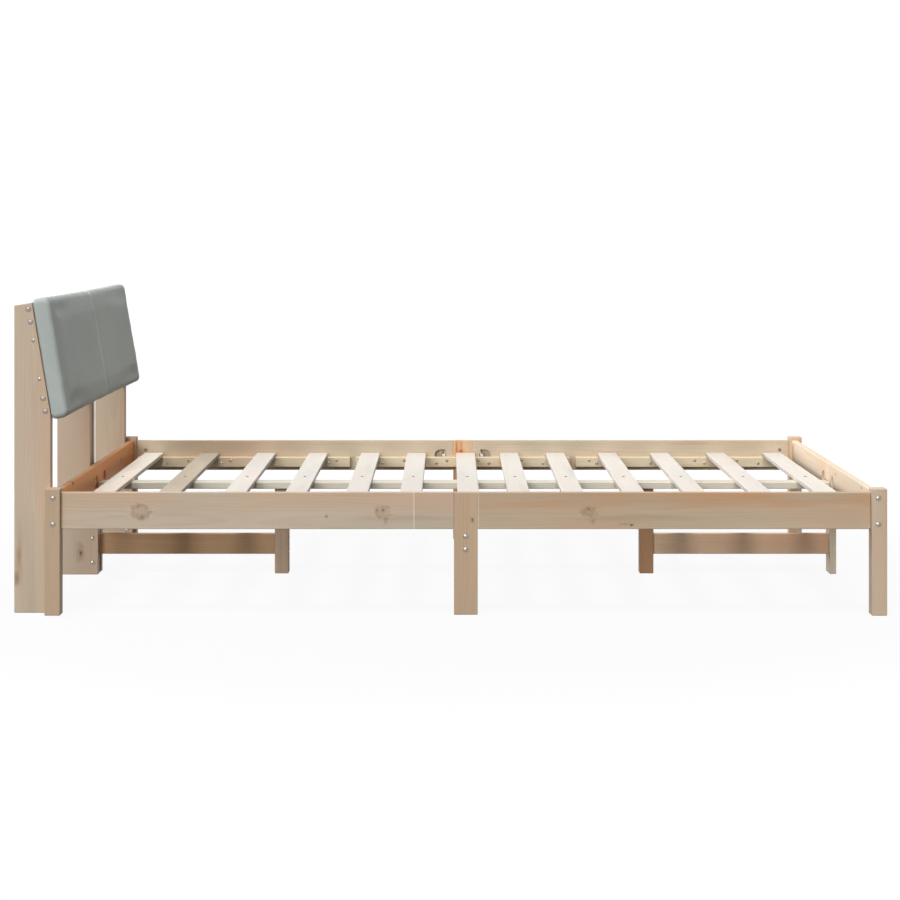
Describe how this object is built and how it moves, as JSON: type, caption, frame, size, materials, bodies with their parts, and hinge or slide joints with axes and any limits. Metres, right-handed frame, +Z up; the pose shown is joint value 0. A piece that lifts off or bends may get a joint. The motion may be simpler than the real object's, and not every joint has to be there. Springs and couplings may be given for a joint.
{
  "type": "bed frame with headboard",
  "caption": "Bed frame in natural pine with square posts, split rails on flat middle legs, a slatted base on a centre beam, and a leaning padded headboard in grey-green cloth.",
  "frame": {"origin": "on the floor under the middle of the whole bed's bounding box", "axes": "+X runs from the headboard to the foot of the bed, +Y to the left side of someone lying in it, +Z up"},
  "size_m": [2.1438, 1.2636, 0.7792],
  "materials": {
    "frame_pine": "natural pine, planed, matt",
    "slat_pine": "natural pine, planed, pale and matt",
    "board_wood": "raw board, hidden inside the cushion",
    "padding_fabric": "woven grey-green cloth over foam",
    "zinc_steel": "zinc plated, satin"
  },
  "bodies": {
    "root": {"barrel_nuts": "zinc_steel", "centre_beam": "frame_pine", "cross_rail": "frame_pine", "cushion": "padding_fabric", "cushion_board": "board_wood", "cushion_rail_lower_left": "frame_pine", "cushion_rail_lower_right": "frame_pine", "cushion_rail_upper_left": "frame_pine", "cushion_rail_upper_right": "frame_pine", "foot_leg": "frame_pine", "foot_post_left": "frame_pine", "foot_post_right": "frame_pine", "foot_rail_left": "frame_pine", "foot_rail_right": "frame_pine", "frame_bolts": "zinc_steel", "half_moon_nuts": "zinc_steel", "head_joint_block": "frame_pine", "head_post_left": "frame_pine", "head_post_right": "frame_pine", "head_rail_left": "frame_pine", "head_rail_right": "frame_pine", "headboard_bolts": "zinc_steel", "joint_studs": "zinc_steel", "ledger_left_foot": "frame_pine", "ledger_left_head": "frame_pine", "ledger_left_middle": "frame_pine", "ledger_right_foot": "frame_pine", "ledger_right_head": "frame_pine", "ledger_right_middle": "frame_pine", "side_leg_left": "frame_pine", "side_leg_right": "frame_pine", "side_rail_left_foot": "frame_pine", "side_rail_left_head": "frame_pine", "side_rail_right_foot": "frame_pine", "side_rail_right_head": "frame_pine", "slat_01": "slat_pine", "slat_02": "slat_pine", "slat_03": "slat_pine", "slat_04": "slat_pine", "slat_05": "slat_pine", "slat_06": "slat_pine", "slat_07": "slat_pine", "slat_08": "slat_pine", "slat_09": "slat_pine", "slat_10": "slat_pine", "slat_11": "slat_pine", "slat_12": "slat_pine", "slat_13": "slat_pine", "stretcher_foot": "frame_pine", "stretcher_head": "frame_pine", "support_leg_foot": "frame_pine", "support_leg_head": "frame_pine", "upright_left": "frame_pine", "upright_middle_left": "frame_pine", "upright_middle_right": "frame_pine", "upright_right": "frame_pine"}
  },
  "joints": []
}
